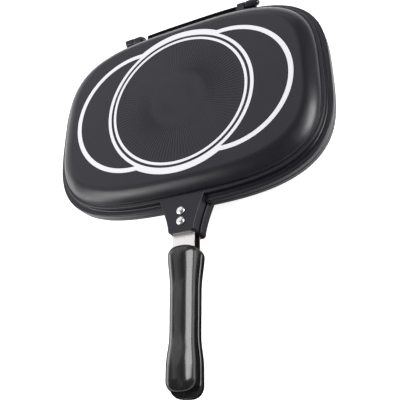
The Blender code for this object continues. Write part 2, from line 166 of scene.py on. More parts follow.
paper = bpy.data.materials.new("matt_white_paper")
paper.use_nodes = True
tree = paper.node_tree
tree.nodes.clear()
rays = add_node(tree, "ShaderNodeLightPath")
seen = add_node(tree, "ShaderNodeMath", {"operation": "MAXIMUM"},
                {0: rays.outputs["Is Camera Ray"], 1: rays.outputs["Is Glossy Ray"]})
shown = add_node(tree, "ShaderNodeMath", {"operation": "MAXIMUM"},
                 {0: seen.outputs[0], 1: rays.outputs["Is Transmission Ray"]})
matt = add_node(tree, "ShaderNodeBsdfDiffuse", None, {"Color": linear("#f4f4f4")})
glow = add_node(tree, "ShaderNodeMath", {"operation": "MULTIPLY"}, {0: shown.outputs[0], 1: floor_glow})
light = add_node(tree, "ShaderNodeEmission", None, {"Strength": glow.outputs[0]})
both = add_node(tree, "ShaderNodeAddShader", None, {0: matt.outputs[0], 1: light.outputs[0]})
place = add_node(tree, "ShaderNodeTexCoord")
away = add_node(tree, "ShaderNodeVectorMath", {"operation": "DISTANCE"},
                {0: place.outputs["Object"], 1: card_middle})
fade = add_node(tree, "ShaderNodeMapRange", {"interpolation_type": "SMOOTHSTEP"},
                {"Value": away.outputs["Value"], "From Min": card_dark_to, "From Max": card_fades_to,
                 "To Min": 1.0, "To Max": card_least})
hidden = add_node(tree, "ShaderNodeMath", {"operation": "MULTIPLY"},
                  {0: rays.outputs["Is Glossy Ray"], 1: fade.outputs[0]})
black = add_node(tree, "ShaderNodeBsdfDiffuse", None, {"Color": linear("#000000")})
ground = add_node(tree, "ShaderNodeMixShader", None,
                  {0: hidden.outputs[0], 1: both.outputs[0], 2: black.outputs[0]})
add_node(tree, "ShaderNodeOutputMaterial", None, {"Surface": ground.outputs[0]})
floor_mesh.materials.append(paper)
print("floor's finish:", paper.name)

# %% [markdown]
# Round the paper lies the world. The camera sees it white, so that the paper has no edge,
# and everything else sees a dim room, because black gloss looks black only where it mirrors
# something dark.

# %% World
world_level = 0.16

world = bpy.data.worlds.new("studio_world")
bpy.context.scene.world = world
world.use_nodes = True
tree = world.node_tree
tree.nodes.clear()
rays = add_node(tree, "ShaderNodeLightPath")
dim = add_node(tree, "ShaderNodeBackground", None, {"Color": linear("#ffffff"), "Strength": world_level})
white = add_node(tree, "ShaderNodeBackground", None, {"Color": linear("#ffffff"), "Strength": 1.0})
mixed = add_node(tree, "ShaderNodeMixShader", None,
                 {0: rays.outputs["Is Camera Ray"], 1: dim.outputs[0], 2: white.outputs[0]})
add_node(tree, "ShaderNodeOutputWorld", None, {"Surface": mixed.outputs[0]})
print(f"world {world_level} for all but camera rays")

# %% [markdown]
# The lamps are rectangles of light, like a photographer's softboxes. A wide, slightly blue
# one behind and above, the dome, gives the plate its even grey. Those on the left draw the
# long highlight on the near shoulder, one on the right draws the patch at the right corner,
# and a strip above the handle draws the bright line along the grip. No lamp stands straight
# in front, which keeps that flank black.

# %% Softboxes
def add_softbox(name, place, aim, width, depth, watts):
    """A rectangular area lamp that faces its aim."""
    lamp = bpy.data.lights.new(name, "AREA")
    lamp.shape = "RECTANGLE"
    lamp.size = width
    lamp.size_y = depth
    lamp.energy = watts
    holder = bpy.data.objects.new(name, lamp)
    holder.location = place
    holder.rotation_euler = (Vector(aim) - Vector(place)).to_track_quat("-Z", "Y").to_euler()
    bpy.context.scene.collection.objects.link(holder)
    return holder


plate_centre = (0, 0, 2 * parting_height)
grip_centre = (0, -0.235, parting_height)
left_shoulder = (-0.13, -0.08, 0.04)
right_shoulder = (0.14, -0.02, 0.04)
dome_tint = (0.94, 0.93, 1.0)
dome = add_softbox("overhead_back_dome", (-0.80, 1.03, 1.25), plate_centre, 2.2, 1.8, 11.2)
dome.data.color = dome_tint
add_softbox("low_left_panel", (-1.10, 0.42, 0.28), left_shoulder, 1.10, 0.50, 1.2)
add_softbox("horizon_left_panel", (-1.25, -0.14, 0.17), left_shoulder, 0.80, 0.32, 2.4)
pan_lamps = [
    add_softbox("left_softbox", (-0.93, -0.46, 0.56), left_shoulder, 0.46, 0.80, 6.0),
    add_softbox("high_left_softbox", (-0.57, -0.52, 0.81), left_shoulder, 0.34, 0.34, 2.4),
    add_softbox("right_softbox", (0.845, 0.05, 0.57), right_shoulder, 0.50, 0.34, 7.0),
    add_softbox("front_right_panel", (0.88, -0.28, 0.40), right_shoulder, 0.24, 0.70, 1.2),
]
add_softbox("low_back_panel", (0.10, 1.20, 0.45), plate_centre, 0.60, 0.40, 0.5)
grip_lamps = [
    add_softbox("grip_strip", (0.300, -0.088, 0.423), grip_centre, 0.32, 0.50, 3.8),
    add_softbox("grip_left_panel", (-1.10, 0.24, 0.30), grip_centre, 0.50, 0.60, 0.80),
    add_softbox("grip_right_panel", (0.82, -0.02, 0.11), grip_centre, 0.50, 0.20, 0.75),
]
bpy.context.scene.view_settings.view_transform = "Standard"

# %% [markdown]
# Both pans are sprayed with a non-stick coat of PTFE in a dark binder and baked. It dries
# to a satin charcoal with a very fine orange peel. The droplets of the spray are too fine
# to see from here, so they are drawn a little coarser, as a bump and as small changes of
# roughness. That grain breaks up the reflections, which is what the eye reads as satin.

# %% Sprayed PTFE coating
coat_grain = 0.9 * mm
coat_patch = 14 * mm
coat_roughness = (0.31, 0.37)


def make_coating():
    """Satin charcoal non-stick coat with an orange peel grain."""
    material, tree, shader = start_material("sprayed_ptfe_coating", "#17161c", 0.34, IOR=1.47)
    place = add_node(tree, "ShaderNodeTexCoord")
    grain = add_node(tree, "ShaderNodeTexNoise", None,
                     {"Vector": place.outputs["Object"], "Scale": 1 / coat_grain, "Detail": 3.0})
    patch = add_node(tree, "ShaderNodeTexNoise", None,
                     {"Vector": place.outputs["Object"], "Scale": 1 / coat_patch, "Detail": 2.0})
    rough = add_node(tree, "ShaderNodeMapRange", None,
                     {"Value": patch.outputs["Fac"], "From Min": 0.3, "From Max": 0.7,
                      "To Min": coat_roughness[0], "To Max": coat_roughness[1]})
    tint = add_node(tree, "ShaderNodeMix", {"data_type": "RGBA"},
                    {"Factor": grain.outputs["Fac"], 6: linear("#15141a"), 7: linear("#1a1820")})
    bump = add_node(tree, "ShaderNodeBump", None,
                    {"Height": grain.outputs["Fac"], "Strength": 0.12, "Distance": 0.1 * mm})
    tree.links.new(rough.outputs[0], shader.inputs["Roughness"])
    tree.links.new(tint.outputs[2], shader.inputs["Base Color"])
    tree.links.new(bump.outputs[0], shader.inputs["Normal"])
    return material


coating = make_coating()
print("coat:", coating.name)

# %% [markdown]
# The round bands on the plate are the bare casting. After the coat is baked, a lathe skims
# them, which leaves bright aluminium with fine rings from the tool. The real rings lie
# about a quarter of a millimetre apart and are drawn four times coarser here. The distance
# from the plate's middle, times a number of turns a metre, goes into a sine for the bump.

# %% Turned aluminium
tool_ring = 1.0 * mm
bands_y = 1.6 * mm


def make_turned_aluminium():
    """Bright skimmed metal with concentric tool marks about the plate's middle."""
    material, tree, shader = start_material("turned_aluminium", "#fafafa", 0.30, Metallic=1.0)
    place = add_node(tree, "ShaderNodeTexCoord")
    flat = add_node(tree, "ShaderNodeVectorMath", {"operation": "MULTIPLY_ADD"},
                    {0: place.outputs["Object"], 1: (1, 1, 0), 2: (0, -bands_y, 0)})
    radius = add_node(tree, "ShaderNodeVectorMath", {"operation": "LENGTH"}, {0: flat.outputs[0]})
    turns = add_node(tree, "ShaderNodeMath", {"operation": "MULTIPLY"},
                     {0: radius.outputs["Value"], 1: math.tau / tool_ring})
    ring = add_node(tree, "ShaderNodeMath", {"operation": "SINE"}, {0: turns.outputs[0]})
    tint = add_node(tree, "ShaderNodeMix", {"data_type": "RGBA"},
                    {"Factor": ring.outputs[0], 6: linear("#fefefc"), 7: linear("#f0f0f2")})
    bump = add_node(tree, "ShaderNodeBump", None,
                    {"Height": ring.outputs[0], "Strength": 0.15, "Distance": 0.05 * mm})
    tree.links.new(tint.outputs[2], shader.inputs["Base Color"])
    tree.links.new(bump.outputs[0], shader.inputs["Normal"])
    return material


turned_aluminium = make_turned_aluminium()
print("bands:", turned_aluminium.name)

# %% [markdown]
# The grips are phenolic, a hard plastic that is pressed hot. Black and grey powders are
# pressed together for a marbled look, and they smear along the mould, so the marbling is a
# noise stretched along the grip. The surface comes out of a polished mould and mirrors the
# lamps sharply, with a slight waviness.

# %% Marbled phenolic
marble_width = 5 * mm
marble_length = 24 * mm


def make_phenolic():
    """Glossy black phenolic with grey streaks that run along the grip."""
    material, tree, shader = start_material("marbled_phenolic", "#1c1b1c", 0.20, IOR=1.60)
    place = add_node(tree, "ShaderNodeTexCoord")
    stretch = add_node(tree, "ShaderNodeVectorMath", {"operation": "MULTIPLY"},
                       {0: place.outputs["Object"],
                        1: (1 / marble_width, 1 / marble_length, 1 / marble_width)})
    cloud = add_node(tree, "ShaderNodeTexNoise", None,
                     {"Vector": stretch.outputs[0], "Scale": 1.0, "Detail": 4.0, "Distortion": 1.2})
    streak = add_node(tree, "ShaderNodeValToRGB", None, {"Fac": cloud.outputs["Fac"]})
    ramp = streak.color_ramp
    ramp.elements[0].position, ramp.elements[0].color = 0.36, linear("#161616")
    ramp.elements[1].position, ramp.elements[1].color = 0.74, linear("#333231")
    middle = ramp.elements.new(0.56)
    middle.color = linear("#1b1a1a")
    wave = add_node(tree, "ShaderNodeBump", None,
                    {"Height": cloud.outputs["Fac"], "Strength": 0.05, "Distance": 0.3 * mm})
    tree.links.new(streak.outputs["Color"], shader.inputs["Base Color"])
    tree.links.new(wave.outputs[0], shader.inputs["Normal"])
    return material


phenolic = make_phenolic()
print("grips:", phenolic.name)

# %% [markdown]
# The metal fittings differ mostly in how they were finished. The tang is a strip of
# stainless steel, brushed across its length. The face towards the other pan gets a painted
# shade, a darker tint for the shadow that the other strip casts on it. The rivets are
# aluminium with smooth heads, the hinge pins and washers are steel, blackened in a hot salt
# bath, the screws are zinc plated, and the magnets have a nickel skin. One function makes
# them all: a noise, drawn out along the brushing, changes the roughness and gives a fine
# bump. The painted shade is a second tint, chosen where the face's normal points back to the
# joint between the pans.

# %% Metal finishes
# The brushed steel's colour, and a darker one that is painted on the inner face as shade
strip_white, strip_painted_shade = "#faf6f1", "#857b72"
painted_shade_limits = (-0.6, -0.3)
metal_spread, metal_bump = 0.06, 0.10


def make_metal(name, colour, roughness, grain):
    """A metal whose grain is a noise of the given size along X, Y and Z."""
    material, tree, shader = start_material(name, colour, roughness, Metallic=1.0)
    place = add_node(tree, "ShaderNodeTexCoord")
    scaled = add_node(tree, "ShaderNodeVectorMath", {"operation": "MULTIPLY"},
                      {0: place.outputs["Object"], 1: [1 / size for size in grain]})
    lines = add_node(tree, "ShaderNodeTexNoise", None,
                     {"Vector": scaled.outputs[0], "Scale": 1.0, "Detail": 2.0})
    rough = add_node(tree, "ShaderNodeMapRange", None,
                     {"Value": lines.outputs["Fac"], "To Min": roughness - metal_spread,
                      "To Max": roughness + metal_spread})
    bump = add_node(tree, "ShaderNodeBump", None,
                    {"Height": lines.outputs["Fac"], "Strength": metal_bump, "Distance": 0.1 * mm})
    tree.links.new(rough.outputs[0], shader.inputs["Roughness"])
    tree.links.new(bump.outputs[0], shader.inputs["Normal"])
    return material


def paint_shade_inside(material, brushed, scale):
    """Paints shade on a strip's inner face, which looks at the other pan, as a darker tint."""
    tree = material.node_tree
    place = add_node(tree, "ShaderNodeTexCoord")
    facing = add_node(tree, "ShaderNodeSeparateXYZ", None, {0: place.outputs["Normal"]})
    height = add_node(tree, "ShaderNodeSeparateXYZ", None, {0: place.outputs["Object"]})
    above = add_node(tree, "ShaderNodeMath", {"operation": "SUBTRACT"},
                     {0: height.outputs["Z"], 1: parting_height})
    pan_side = add_node(tree, "ShaderNodeMath", {"operation": "SIGN"}, {0: above.outputs[0]})
    outward = add_node(tree, "ShaderNodeMath", {"operation": "MULTIPLY"},
                       {0: facing.outputs["Z"], 1: pan_side.outputs[0]})
    share = add_node(tree, "ShaderNodeMapRange", None,
                     {"Value": outward.outputs[0], "From Min": painted_shade_limits[0], "From Max": painted_shade_limits[1]})
    # Painted shade: faces that look back at the joint get the darker colour, for the shadow between the
    # strips
    tint = add_node(tree, "ShaderNodeMix", {"data_type": "RGBA"},
                    {"Factor": share.outputs[0], 6: linear(scale), 7: linear(brushed)})
    tree.links.new(tint.outputs[2], tree.nodes["Principled BSDF"].inputs["Base Color"])


brushed_stainless = make_metal("brushed_stainless_steel", strip_white, 0.32, (30 * mm, 0.7 * mm, 0.7 * mm))
# The tang's inner face gets painted shade
paint_shade_inside(brushed_stainless, strip_white, strip_painted_shade)
rivet_aluminium = make_metal("smooth_rivet_aluminium", "#efefef", 0.27, (1 * mm, 1 * mm, 1 * mm))
black_steel = make_metal("blackened_steel", "#4a4a4c", 0.38, (0.8 * mm, 0.8 * mm, 0.8 * mm))
zinc_plate = make_metal("zinc_plated_steel", "#b9bbbe", 0.34, (0.6 * mm, 0.6 * mm, 0.6 * mm))
nickel_plate = make_metal("nickel_plated_magnet", "#c9c5be", 0.22, (1.2 * mm, 1.2 * mm, 1.2 * mm))
metals = (brushed_stainless, rivet_aluminium, black_steel, zinc_plate, nickel_plate)
print("metals:", [material.name for material in metals])

# %% [markdown]
# The seal is silicone rubber, pressed in a matt mould. Silicone scatters light inside and
# feels a little greasy, which shows as a soft sheen at grazing angles and no sharp shine.

# %% Silicone
mould_grain = 2 * mm


def make_silicone():
    """Matt red silicone rubber."""
    material, tree, shader = start_material("moulded_silicone", "#8c2b26", 0.55, IOR=1.41, Sheen_Weight=0.15)
    place = add_node(tree, "ShaderNodeTexCoord")
    cloud = add_node(tree, "ShaderNodeTexNoise", None,
                     {"Vector": place.outputs["Object"], "Scale": 1 / mould_grain, "Detail": 2.0})
    bump = add_node(tree, "ShaderNodeBump", None,
                    {"Height": cloud.outputs["Fac"], "Strength": 0.1, "Distance": 0.1 * mm})
    tree.links.new(bump.outputs[0], shader.inputs["Normal"])
    return material


silicone = make_silicone()
print("seal:", silicone.name)

# %% [markdown]
# Most pieces are lofts: rings of points, each joined to the next by a band of faces. A lofted
# ring can follow the pan's outline, a circle or the section of a grip, so one function
# covers castings, rivets and handles. Blender has modifiers for some of these shapes, but
# with bmesh the script says where each ring goes.

# %% Lofts and turned pieces
def to_mesh(name, shape):
    """Turns a bmesh into a mesh with its faces pointing out."""
    bmesh.ops.recalc_face_normals(shape, faces=shape.faces)
    mesh = bpy.data.meshes.new(name)
    shape.to_mesh(mesh)
    shape.free()
    return mesh


def loft(name, rings, closed=False):
    """Joins rings of equally many points, with flat ends, or round into a closed loop."""
    shape = bmesh.new()
    rows = [[shape.verts.new(point) for point in ring] for ring in rings]
    pairs = list(zip(rows, rows[1:])) + ([(rows[-1], rows[0])] if closed else [])
    for first, second in pairs:
        for i, corner in enumerate(first):
            j = (i + 1) % len(first)
            shape.faces.new((corner, first[j], second[j], second[i]))
    if not closed:
        shape.faces.new(rows[0])
        shape.faces.new(rows[-1])
    return to_mesh(name, shape)


def turned(name, profile, points=64, closed=False):
    """A solid of revolution about Z from a profile of radius and height."""
    angles = [math.tau * i / points for i in range(points)]
    rings = [[(r * math.cos(a), r * math.sin(a), z) for a in angles] for r, z in profile]
    return loft(name, rings, closed)

# %% [markdown]
# A prism is a flat outline pulled up, with its two rims bevelled. A line's corners are
# rounded by finding the circle that touches both sides of a corner: half the corner's angle
# gives its centre and where it starts and ends.

# %% Prisms and round corners
def prism(name, outline, low, high, edge=0.0, steps=4):
    """A flat outline raised from low to high, its two rims rounded by edge."""
    shape = bmesh.new()
    base = shape.faces.new([shape.verts.new((x, y, low)) for x, y in outline])
    raised = bmesh.ops.extrude_face_region(shape, geom=[base])["geom"]
    tops = [item for item in raised if isinstance(item, bmesh.types.BMVert)]
    bmesh.ops.translate(shape, verts=tops, vec=(0, 0, high - low))
    if edge:
        rims = [e for e in shape.edges if abs(e.verts[0].co.z - e.verts[1].co.z) < edge]
        bmesh.ops.bevel(shape, geom=rims, offset=edge, segments=steps, profile=0.5, affect="EDGES")
    return to_mesh(name, shape)


def round_corners(points, steps=5):
    """An open line of (x, y, radius) points with each corner turned into an arc."""
    line = [Vector(points[0][:2])]
    for before, here, after in zip(points, points[1:], points[2:]):
        corner, radius = Vector(here[:2]), here[2]
        if not radius:
            line.append(corner)
            continue
        back = (Vector(before[:2]) - corner).normalized()
        ahead = (Vector(after[:2]) - corner).normalized()
        half = back.angle(ahead) / 2
        centre = corner + (back + ahead).normalized() * radius / math.sin(half)
        reach = radius / math.tan(half)
        start, end = corner + back * reach - centre, corner + ahead * reach - centre
        for i in range(steps + 1):
            line.append(centre + start.lerp(end, i / steps).normalized() * radius)
    return line + [Vector(points[-1][:2])]

# %% [markdown]
# Meshes are turned into place, so that their objects need no transform. Booleans then join
# and cut these solids, as a machinist would. All tools of a piece are set first and the
# result is read once, which is quicker than applying one after another.

# %% Helpers that make and cut a piece
def new_object(name, mesh, material=None, turn=Matrix.Identity(4)):
    """An object whose mesh is already in place, in the model's own frame."""
    mesh.transform(turn)
    if material:
        mesh.materials.append(material)
    piece = bpy.data.objects.new(name, mesh)
    bpy.context.scene.collection.objects.link(piece)
    return piece


def combine(piece, tools):
    """Joins or cuts with each (operation, tool) in turn, applies it, and removes the tools."""
    for operation, tool in tools:
        modifier = piece.modifiers.new(tool.name, "BOOLEAN")
        modifier.operation = operation
        modifier.solver = "EXACT"
        modifier.object = tool
    bpy.context.view_layer.update()
    reader = bpy.context.evaluated_depsgraph_get()
    mesh = bpy.data.meshes.new_from_object(piece.evaluated_get(reader))
    piece.modifiers.clear()
    piece.data = mesh
    for tool in {tool for _, tool in tools}:
        bpy.data.objects.remove(tool, do_unlink=True)
    return piece

# %% [markdown]
# A finished piece is shaded smooth up to an angle, and a weighted normal keeps flat faces
# flat beside the round edges. Then the piece is hung under an empty for the body it rides
# on, and the imported nodes that it stands for are hidden.

# %% Helper that dresses a piece
sharp_angle = math.radians(32)


def dress(piece, body, slot_name, *nodes):
    """Smooths a piece, hangs it under its body's empty and hides what it replaces; slot_name is not used."""
    piece.data.shade_smooth()
    piece.data.set_sharp_from_angle(angle=sharp_angle)
    weigh = piece.modifiers.new("weighted normals", "WEIGHTED_NORMAL")
    weigh.keep_sharp = True
    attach(piece, body)
    if nodes:
        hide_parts(*nodes)
    print(f"{piece.name}: {len(piece.data.polygons)} faces")
    return piece

# %% [markdown]
# Seen from above, the pan is neither a rectangle nor an ellipse but something between: a
# superellipse. It has |x/a|^n + |y/b|^n = 1, and a power n of 3.3 gives the broad round
# corners of the real casting. A point at any angle comes from dividing the circle's point
# by that sum's n-th root, which spreads the points evenly round the pan's middle.

# %% The pan's outline
outline_power = 3.3
outline_points = 240
print(f"outline of {outline_points} points with power {outline_power}")


def outline_ring(inset, height):
    """The pan's outline, drawn in by inset, at a height above the joint."""
    ring = []
    for i in range(outline_points):
        angle = math.tau * (i + 0.5) / outline_points
        c, s = math.cos(angle), math.sin(angle)
        scale = (abs(c) ** outline_power + abs(s) ** outline_power) ** (-1 / outline_power)
        ring.append(((half_length - inset) * c * scale, (half_width - inset) * s * scale, height))
    return ring


def rim_y(x, inset=0.0):
    """How far back the outline lies at x."""
    share = abs(x) / (half_length - inset)
    return (half_width - inset) * (1 - share ** outline_power) ** (1 / outline_power)

# %% [markdown]
# The wall of one pan is drawn once, as a line of insets from the rim and heights above the
# joint: from the plate over a soft bend and down the broad shoulder, out over a small level
# ledge, down a low wall, out along the lip and back inside. A die casting has no sharp
# corners, so each one gets its own small radius, which draws the bright lines in the
# photograph. The bend at the plate's edge is a piece of a parabola.

# %% One casting's wall
lip_height, lip_width = 6.4 * mm, 9.5 * mm
joint_gap = 0.15 * mm
wall_inset, step_height = 6.3 * mm, 12.9 * mm
step_inset, step_top = 9.6 * mm, 13.0 * mm
shoulder_inset, shoulder_height = 9.9 * mm, 15.0 * mm
plate_inset, base_thickness, shoulder_wall = 25.0 * mm, 4.0 * mm, 2.6 * mm
shoulder_power = 1.4
shoulder_steps = 28
roll_start, roll_end, roll_steps = 2.0 * mm, 4.0 * mm, 10
step_round, ledge_round, wall_foot_round = 0.5 * mm, 0.8 * mm, 1.4 * mm
lip_round, joint_round = 1.3 * mm, 0.8 * mm


def quarter(reach, rise):
    """A flattened quarter round, from the plate's edge down to the shoulder's foot."""
    curve = []
    for i in range(shoulder_steps + 1):
        angle = math.pi / 2 * (1 - i / shoulder_steps)
        across = math.cos(angle) ** (2 / shoulder_power)
        up = math.sin(angle) ** (2 / shoulder_power)
        curve.append((plate_inset - reach * across, shoulder_height + rise * up))
    return curve


def roll_over(curve):
    """Gives the curve's quick start a soft bend, from on the plate to a little way down."""
    meets = next(i for i, (inset, _) in enumerate(curve) if inset < plate_inset - roll_end)
    (x0, z0), (x1, z1) = curve[meets - 1:meets + 1]
    corner = x1 + (plate_height - z1) * (x1 - x0) / (z1 - z0)
    bend = []
    for i in range(roll_steps):
        t = i / roll_steps
        x = (1 - t) ** 2 * (plate_inset + roll_start) + 2 * t * (1 - t) * corner + t ** 2 * x1
        bend.append((x, (1 - t ** 2) * plate_height + t ** 2 * z1))
    return bend + curve[meets:]


def casting_profile():
    """Inset and height all the way from the plate to the cavity's floor."""
    reach = plate_inset - shoulder_inset
    outside = roll_over(quarter(reach, plate_height - shoulder_height))
    inside = quarter(reach - shoulder_wall, plate_height - base_thickness - shoulder_height)[::-1]
    corners = [
        (*outside[-1], 0.0),
        (step_inset, step_top, step_round),
        (wall_inset, step_height, ledge_round),
        (wall_inset, lip_height, wall_foot_round),
        (0.0, lip_height, lip_round),
        (0.0, joint_gap, joint_round),
        (lip_width, joint_gap, joint_round),
        (*inside[0], 0.0),
    ]
    middle = [tuple(point) for point in round_corners(corners)]
    return outside + middle[1:-1] + inside


profile = casting_profile()
print(f"the wall has {len(profile)} points")

# %% [markdown]
# Handle bracket, hinge lugs, drip gutter and grill ribs are cast in one with the pan. Each is
# made as its own small solid and joined by a Boolean, and the seal's groove, the tang's
# channel, the rivet holes and the hinge bores are cut afterwards, like the real ones. Two
# kinds of cutter are enough for most of that: a plain box and an upright cylinder. They
# reach past the face that they cut, because faces in one plane upset a Boolean.

# %% Cutters
bore_points = 40
cut = 2.0 * mm
fit = 0.3 * mm
print(f"cutters reach {1000 * cut:.0f} mm past a face and leave {1000 * fit:.1f} mm round a fitting")


def cutter_box(name, low, high, turn):
    """A plain box that only cuts."""
    corners = [(low[0], low[1]), (high[0], low[1]), (high[0], high[1]), (low[0], high[1])]
    return new_object(name, prism(name, corners, low[2], high[2]), turn=turn)


def hole(name, radius, y, low, high, turn):
    """An upright round cutter."""
    mesh = turned(name, [(radius, low), (radius, high)], bore_points)
    mesh.transform(Matrix.Translation((0, y, 0)))
    return new_object(name, mesh, turn=turn)

# %% [markdown]
# The bracket is a thick tongue that flares into the rim. The tang lies in a channel in its
# inner face, and two rivets go through both. A power of the distance gives the flare, which
# is quick at the rim and then runs out straight. The lower bracket is a little wider, so it
# shows from above on both sides of the upper one.

# %% Bracket that carries the handle
bracket_root_inset = 10.5 * mm
bracket_root_y = bracket_root_inset - half_width
bracket_length, bracket_root, bracket_end, bracket_flare = 41.8 * mm, 26.5 * mm, 14.2 * mm, 1.35
bracket_face, bracket_foot = 13.35 * mm, 0.5 * mm
bracket_corner, bracket_edge = 3.5 * mm, 0.9 * mm
bracket_extra = {"upper": 0.0, "lower": 1.6 * mm}
flare_steps, corner_steps = 24, 8
rivet_radius = 2.5 * mm
print(f"bracket {1000 * bracket_length:.1f} mm long")


def bracket_outline(extra):
    """Plan of the bracket: it flares into the rim and has round corners at its end."""
    side = []
    straight = bracket_length - bracket_corner
    for i in range(flare_steps + 1):
        share = i / flare_steps
        half = extra + bracket_end + (bracket_root - bracket_end) * (1 - share) ** bracket_flare
        side.append((half, bracket_root_y - straight * share))
    for i in range(1, corner_steps + 1):
        angle = math.pi / 2 * i / corner_steps
        side.append((extra + bracket_end - bracket_corner * (1 - math.cos(angle)),
                     bracket_root_y - straight - bracket_corner * math.sin(angle)))
    return side + [(-x, y) for x, y in side[::-1]]


def tang_box(pan):
    """The tang's half width, start and end along Y, and its height above the joint."""
    low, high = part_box(f"{pan}_handle_tang")
    near, far = sorted(abs(z - parting_height) for z in (low.z, high.z))
    return high.x, high.y, low.y, near, far


def node_middle(node):
    """The Y of a node's middle."""
    low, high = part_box(node)
    return (low.y + high.y) / 2


def rivet_places(pan):
    """The Y of the two rivets, from the frame."""
    return [node_middle(f"{pan}_rivet_{i}") for i in (1, 2)]


def bracket_tools(pan):
    """Joins the bracket, then cuts the tang's channel and the rivet holes."""
    turn = pan_frames[pan]
    half, start, _, _, top = tang_box(pan)
    body = prism("bracket", bracket_outline(bracket_extra[pan]), bracket_foot, bracket_face, bracket_edge)
    end_y = bracket_root_y - bracket_length
    tools = [
        ("UNION", new_object("bracket", body, turn=turn)),
        ("DIFFERENCE", cutter_box("channel", (-half - fit, end_y - cut, -cut),
                                  (half + fit, start + fit, top + fit), turn)),
    ]
    for y in rivet_places(pan):
        cutter = hole("rivet_hole", rivet_radius + fit, y, -cut, bracket_face + cut, turn)
        tools.append(("DIFFERENCE", cutter))
    return tools

# %% [markdown]
# On each side a lug of the upper pan stands between the middle and a lug of the lower one,
# with a washer between them and one pin through both. A lug is a short arm with a knuckle
# at its end. The knuckle is a turned barrel laid along X, and its bore is cut last.

# %% Hinge lugs
knuckle_radius, lug_root, arm_height = 5.2 * mm, 2.4 * mm, 4.6 * mm
outer_lug_width, pin_radius, pin_head_length = 10.4 * mm, 2.2 * mm, 5.0 * mm
cast_edge, cast_edge_steps = 0.6 * mm, 3
knuckle_edge = 0.7 * mm
knuckle_soft = 0.3 * knuckle_edge
pin_low, pin_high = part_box("hinge_pin_right")
washer_low, washer_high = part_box("hinge_washer_right")
inner_lug = (pin_low.x, washer_low.x - fit)
outer_lug = (washer_high.x + fit, washer_high.x + fit + outer_lug_width)
print("lugs in mm along X:", [[round(1000 * x, 1) for x in span] for span in (inner_lug, outer_lug)])


def along_x(mesh, x):
    """Lays a mesh that stands on Z along the hinge line, starting at x."""
    mesh.transform(Matrix.Translation((x, hinge_y, 0)) @ Matrix.Rotation(math.pi / 2, 4, "Y"))
    return mesh


def lug_tools(pan, span, side):
    """Joins one hinge lug with its knuckle and bores it."""
    turn = pan_frames[pan]
    low, high = sorted(side * x for x in span)
    width = high - low
    plan = [(x, rim_y(x) - lug_root) for x in (low, high)] + [(high, hinge_y), (low, hinge_y)]
    arm = prism("lug_arm", plan, bracket_foot, arm_height, cast_edge, cast_edge_steps)
    end = [(knuckle_radius - knuckle_edge, 0), (knuckle_radius - knuckle_soft, knuckle_soft),
           (knuckle_radius, knuckle_edge)]
    barrel = end + [(radius, width - x) for radius, x in end[::-1]]
    bore = turned("lug_bore", [(pin_radius + fit, -cut), (pin_radius + fit, width + cut)], bore_points)
    return [
        ("UNION", new_object("lug_arm", arm, turn=turn)),
        ("UNION", new_object("lug_knuckle", along_x(turned("lug_knuckle", barrel), low), turn=turn)),
        ("DIFFERENCE", new_object("lug_bore", along_x(bore, low), turn=turn)),
    ]

# %% [markdown]
# The drip gutter runs along the rim between the lugs and catches what drips as the pan is
# turned over. Its plan is the rim's own curve at two distances, so it bends with the rim,
# and a smaller prism of the same kind hollows it.

# %% Drip gutter
gutter_reach, gutter_height, gutter_depth = 13.6 * mm, 4.6 * mm, 3.2 * mm
gutter_wall, gutter_land, gutter_gap, gutter_steps = 1.4 * mm, 1.0 * mm, 1.3 * mm, 40


def gutter_plan(first, last, start, reach):
    """Plan of a strip that follows the rim from one x to another, at these distances from it."""
    xs = [first + (last - first) * i / gutter_steps for i in range(gutter_steps + 1)]
    return [(x, rim_y(x) + reach) for x in xs] + [(x, rim_y(x) + start) for x in xs[::-1]]


def gutter_tools():
    """Joins the drip gutter, which runs along the rim between the lugs, and hollows it."""
    turn = pan_frames["lower"]
    first = gutter_gap - inner_lug[0]
    last = -first - pin_head_length
    bar = prism("drip_gutter", gutter_plan(first, last, -lug_root, gutter_reach),
                bracket_foot, bracket_foot + gutter_height, cast_edge, cast_edge_steps)
    plan = gutter_plan(first + gutter_wall, last - gutter_wall, gutter_land, gutter_reach - gutter_wall)
    hollow = prism("gutter_hollow", plan, -cut, bracket_foot + gutter_depth)
    return [("UNION", new_object("drip_gutter", bar, turn=turn)),
            ("DIFFERENCE", new_object("gutter_hollow", hollow, turn=turn))]

# %% [markdown]
# Grill ribs stand on the lower pan's floor. They narrow towards the top, so that the casting
# leaves its die. Each is one small section lofted across the pan, and at its ends it sinks
# into the floor: at these distances from an end it has these shares of its height. The
# seal's groove follows the outline all round as a closed loft.

# %% Grill ribs and the seal's groove
rib_pitch, rib_width, rib_top, rib_height, rib_gap = 18 * mm, 3.6 * mm, 2.0 * mm, 2.0 * mm, 8.0 * mm
rib_root, rib_foot_round, rib_top_round = 1.0 * mm, 0.6 * mm, 0.7 * mm
rib_ends = ((0.0, 0.0), (1.5 * mm, 0.7), (3.0 * mm, 1.0))
groove_inset, groove_width, groove_depth = 3.2 * mm, 3.2 * mm, 2.65 * mm


def rib_tools():
    """Joins the grill ribs to the lower pan's floor."""
    turn = pan_frames["lower"]
    floor_height = plate_height - base_thickness
    reach = half_length - plate_inset
    tools = []
    count = int(reach // rib_pitch)
    for i in range(-count, count + 1):
        x = i * rib_pitch
        if abs(x) + rib_width > reach:
            continue
        end = rim_y(x, plate_inset) - rib_gap
        side = [(rib_width / 2, rib_root, 0), (rib_width / 2, 0, rib_foot_round),
                (rib_top / 2, -rib_height, rib_top_round)]
        line = round_corners(side + [(-across, up, radius) for across, up, radius in side[::-1]], 3)
        stations = [(-end + distance, share) for distance, share in rib_ends]
        stations += [(end - distance, share) for distance, share in rib_ends[::-1]]
        rings = []
        for y, share in stations:
            rings.append([(x + p.x, y, floor_height + (p.y if p.y > 0 else p.y * share)) for p in line])
        tools.append(("UNION", new_object("rib", loft("rib", rings), turn=turn)))
    return tools


